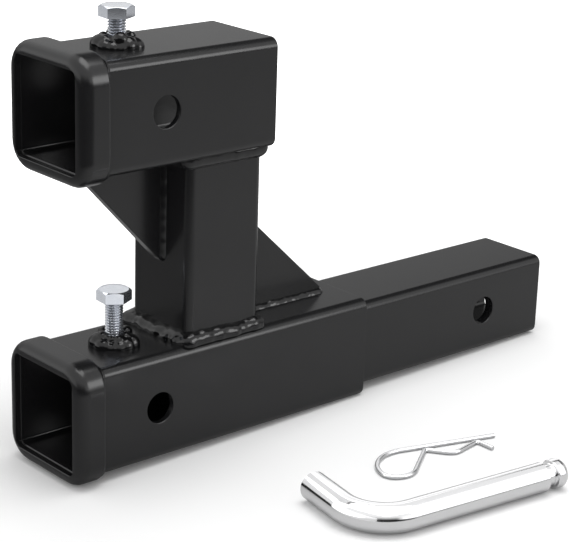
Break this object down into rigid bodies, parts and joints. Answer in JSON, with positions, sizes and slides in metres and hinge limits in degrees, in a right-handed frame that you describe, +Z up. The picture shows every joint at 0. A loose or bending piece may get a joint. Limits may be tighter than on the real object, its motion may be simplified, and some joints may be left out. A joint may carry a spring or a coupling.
{
  "type": "hitch receiver riser extender",
  "caption": "Black steel trailer hitch riser: square shank, two stacked square receiver tubes with collars and set bolts, a welded post, a bent pin and a spring clip.",
  "frame": {"origin": "centre of the pin hole through the shank", "axes": "+X along the shank and out of its free end, +Y along the pin holes, +Z up from the lower receiver tube to the upper one"},
  "size_m": [0.357, 0.2243, 0.2465],
  "materials": {
    "black_powder_coat": "satin",
    "coated_weld": "gloss",
    "zinc_plate": "bright zinc",
    "chrome_plate": "polished",
    "bright_wire": "bright"
  },
  "bodies": {
    "weldment": {"lower_receiver_tube": "black_powder_coat", "upper_receiver_tube": "black_powder_coat", "lower_collar": "black_powder_coat", "upper_collar": "black_powder_coat", "post": "black_powder_coat", "shank": "black_powder_coat", "front_gusset": "black_powder_coat", "rear_gusset": "black_powder_coat", "lower_weld_nut": "black_powder_coat", "upper_weld_nut": "black_powder_coat", "post_foot_weld": "coated_weld", "post_head_weld": "coated_weld", "front_gusset_weld": "coated_weld", "rear_gusset_weld": "coated_weld", "lower_nut_weld": "coated_weld", "upper_nut_weld": "coated_weld", "lower_collar_weld": "coated_weld", "upper_collar_weld": "coated_weld", "shank_weld": "coated_weld", "hitch_pin": "chrome_plate", "hairpin_clip": "bright_wire"},
    "lower_bolt": {"lower_set_bolt": "zinc_plate"},
    "upper_bolt": {"upper_set_bolt": "zinc_plate"}
  },
  "joints": [
    {"name": "lower_bolt_travel", "type": "slide", "parent": "weldment", "child": "lower_bolt", "axis": [0, 0, -1], "range_m": [-0.003, 0.018]},
    {"name": "upper_bolt_travel", "type": "slide", "parent": "weldment", "child": "upper_bolt", "axis": [0, 0, -1], "range_m": [-0.008, 0.0086]}
  ]
}
